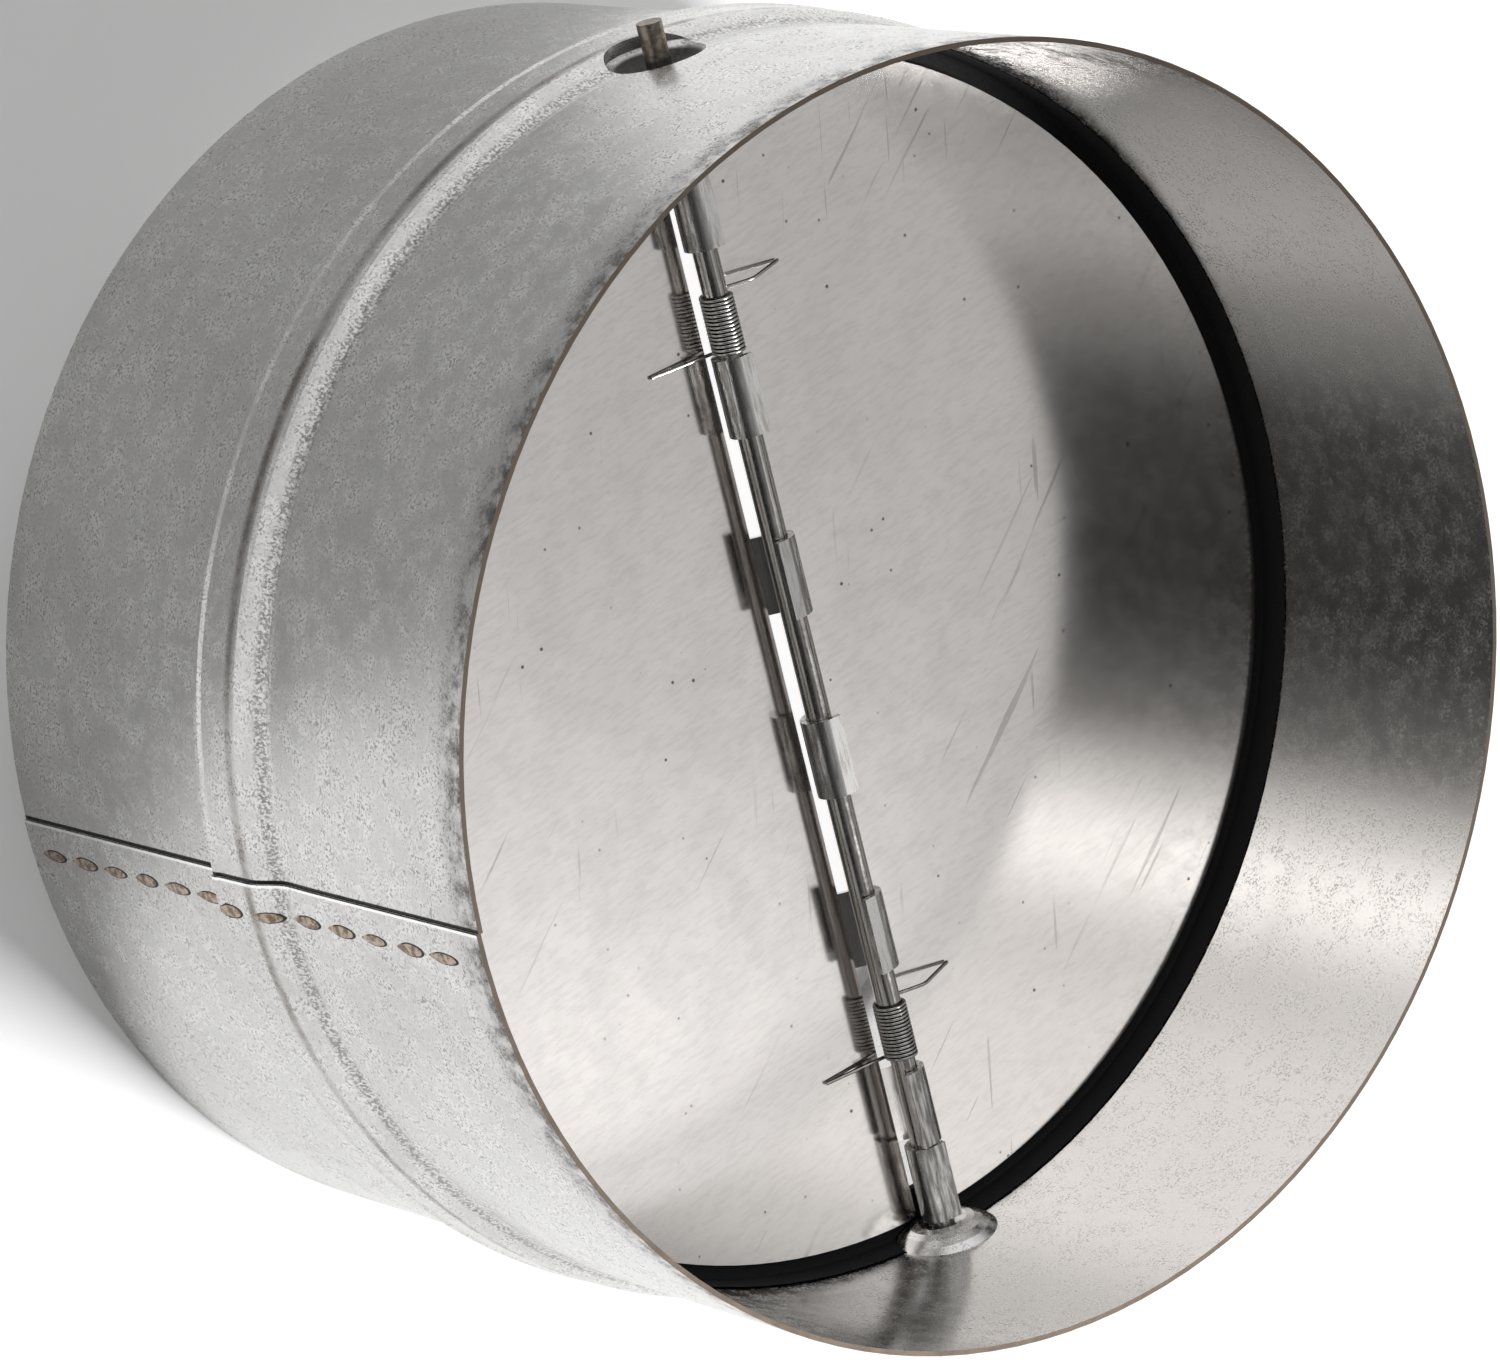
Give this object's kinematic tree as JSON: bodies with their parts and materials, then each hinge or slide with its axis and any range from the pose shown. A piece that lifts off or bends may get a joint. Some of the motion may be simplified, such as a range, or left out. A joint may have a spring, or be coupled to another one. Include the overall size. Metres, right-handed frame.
{
  "type": "backdraft damper",
  "caption": "Round duct sleeve with a raised bead, holding two spring-loaded half-disc blades on a central rod that close against a rubber gasket to stop air flowing back.",
  "frame": {"origin": "centre of the sleeve's inlet rim, on the plane that the damper stands on", "axes": "+Z along the duct in the direction of the air flow, +X along the hinge rod towards its upper end in the picture, +Y towards the left blade and the lap seam"},
  "size_m": [0.2098, 0.204, 0.125],
  "materials": {
    "galvanised_sheet": "galvanised, mottled satin",
    "gasket_rubber": "matt black",
    "rod_steel": "drawn steel",
    "blade_sheet": "bright smooth zinc coat",
    "spring_steel": "drawn spring wire"
  },
  "bodies": {
    "duct": {"sleeve": "galvanised_sheet", "gasket": "gasket_rubber", "hinge_rod": "rod_steel", "upper_spring": "spring_steel", "lower_spring": "spring_steel"},
    "left_blade": {"left_blade": "blade_sheet"},
    "right_blade": {"right_blade": "blade_sheet"}
  },
  "joints": [
    {"name": "left_blade_hinge", "type": "hinge", "parent": "duct", "child": "left_blade", "pos_m": [0, 0, 0.075], "axis": [1, 0, 0], "range_deg": [0, 85], "stiffness_Nm_per_rad": 0.01, "springref_deg": -57.3, "deforming": ["upper_spring", "lower_spring"]},
    {"name": "right_blade_hinge", "type": "hinge", "parent": "duct", "child": "right_blade", "pos_m": [0, 0, 0.075], "axis": [-1, 0, 0], "range_deg": [0, 85], "stiffness_Nm_per_rad": 0.01, "springref_deg": -57.3, "deforming": ["upper_spring", "lower_spring"]}
  ]
}
